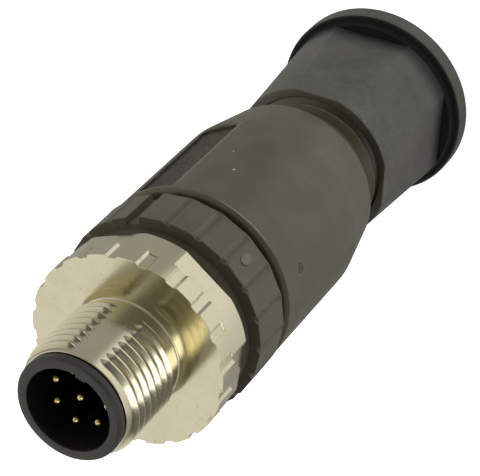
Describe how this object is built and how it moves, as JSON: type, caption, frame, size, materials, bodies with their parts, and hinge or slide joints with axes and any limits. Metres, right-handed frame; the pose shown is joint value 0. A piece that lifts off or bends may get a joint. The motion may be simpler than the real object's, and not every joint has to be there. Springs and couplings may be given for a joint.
{
  "type": "m12 circular connector",
  "caption": "Straight field-wired M12 plug with pins, a threaded coupling screw, a plastic body sleeve and a flared cable clamping nut.",
  "frame": {"origin": "centre of the rear flange's face, on the surface that the plug stands on", "axes": "+Z along the common axis, out of the pin end; +Y towards the side that the picture shows most"},
  "size_m": [0.021, 0.021, 0.065],
  "materials": {
    "insert_plastic": "dark moulded plastic, smooth",
    "grip_plastic": "black moulded plastic, satin",
    "sleeve_plastic": "black moulded plastic with a warm tint, fine satin",
    "nut_plastic": "black moulded plastic, satin with fine scuffs",
    "clamp_plastic": "natural moulded plastic",
    "seal_rubber": "black rubber",
    "nickel": "nickel plate, satin, with a warm tint",
    "gold": "gold plate",
    "screw_steel": "plated steel"
  },
  "bodies": {
    "plug_core": {"contact_insert": "insert_plastic", "terminal_carrier": "insert_plastic", "grip_ring": "grip_plastic", "contact_pin_1": "gold", "contact_pin_2": "gold", "contact_pin_3": "gold", "contact_pin_4": "gold", "contact_pin_5": "gold", "contact_pin_6": "gold", "contact_pin_7": "gold", "contact_pin_8": "gold"},
    "coupling": {"coupling_screw": "nickel"},
    "sleeve_carriage": {"sleeve_seal": "seal_rubber"},
    "sleeve": {"body_sleeve": "sleeve_plastic"},
    "clamp_stack": {"slip_washer": "clamp_plastic", "cable_clamp": "clamp_plastic", "cable_seal": "seal_rubber"},
    "nut": {"clamping_nut": "nut_plastic"},
    "wire_screw_1": {"terminal_screw_1": "screw_steel"},
    "wire_screw_2": {"terminal_screw_2": "screw_steel"},
    "wire_screw_3": {"terminal_screw_3": "screw_steel"},
    "wire_screw_4": {"terminal_screw_4": "screw_steel"},
    "wire_screw_5": {"terminal_screw_5": "screw_steel"},
    "wire_screw_6": {"terminal_screw_6": "screw_steel"},
    "wire_screw_7": {"terminal_screw_7": "screw_steel"},
    "wire_screw_8": {"terminal_screw_8": "screw_steel"}
  },
  "joints": [
    {"name": "coupling_spin", "type": "hinge", "parent": "plug_core", "child": "coupling", "pos_m": [0, 0, 0.055], "axis": [0, 0, 1], "continuous": true},
    {"name": "sleeve_travel", "type": "slide", "parent": "plug_core", "child": "sleeve_carriage", "axis": [0, 0, 1], "range_m": [-0.00401, 0]},
    {"name": "sleeve_turn", "type": "hinge", "parent": "sleeve_carriage", "child": "sleeve", "pos_m": [0, 0, 0.03], "axis": [0, 0, 1], "range_deg": [-1440, 0]},
    {"name": "clamp_travel", "type": "slide", "parent": "sleeve", "child": "clamp_stack", "axis": [0, 0, 1], "range_m": [-0.00142, 0.00395]},
    {"name": "nut_turn", "type": "hinge", "parent": "clamp_stack", "child": "nut", "pos_m": [0, 0, 0.008], "axis": [0, 0, 1], "range_deg": [-360, 1008]},
    {"name": "wire_screw_1_turn", "type": "hinge", "parent": "plug_core", "child": "wire_screw_1", "pos_m": [-0.00598, 0.00163, 0.0345], "axis": [-0.965, 0.2624, 0], "range_deg": [-540, 0]},
    {"name": "wire_screw_2_turn", "type": "hinge", "parent": "plug_core", "child": "wire_screw_2", "pos_m": [-0.00538, -0.00308, 0.0345], "axis": [-0.8679, -0.4968, 0], "range_deg": [-540, 0]},
    {"name": "wire_screw_3_turn", "type": "hinge", "parent": "plug_core", "child": "wire_screw_3", "pos_m": [-0.00163, -0.00598, 0.0345], "axis": [-0.2624, -0.965, 0], "range_deg": [-540, 0]},
    {"name": "wire_screw_4_turn", "type": "hinge", "parent": "plug_core", "child": "wire_screw_4", "pos_m": [0.00308, -0.00538, 0.0345], "axis": [0.4968, -0.8679, 0], "range_deg": [-540, 0]},
    {"name": "wire_screw_5_turn", "type": "hinge", "parent": "plug_core", "child": "wire_screw_5", "pos_m": [0.00598, -0.00163, 0.0345], "axis": [0.965, -0.2624, 0], "range_deg": [-540, 0]},
    {"name": "wire_screw_6_turn", "type": "hinge", "parent": "plug_core", "child": "wire_screw_6", "pos_m": [0.00538, 0.00308, 0.0345], "axis": [0.8679, 0.4968, 0], "range_deg": [-540, 0]},
    {"name": "wire_screw_7_turn", "type": "hinge", "parent": "plug_core", "child": "wire_screw_7", "pos_m": [0.00163, 0.00598, 0.0345], "axis": [0.2624, 0.965, 0], "range_deg": [-540, 0]},
    {"name": "wire_screw_8_turn", "type": "hinge", "parent": "plug_core", "child": "wire_screw_8", "pos_m": [-0.00308, 0.00538, 0.0345], "axis": [-0.4968, 0.8679, 0], "range_deg": [-540, 0]}
  ],
  "couplings": [
    {"joint": "sleeve_travel", "follows": "sleeve_turn", "m_per_rad": 0.00015915},
    {"joint": "clamp_travel", "follows": "nut_turn", "m_per_rad": 0.00022441}
  ]
}
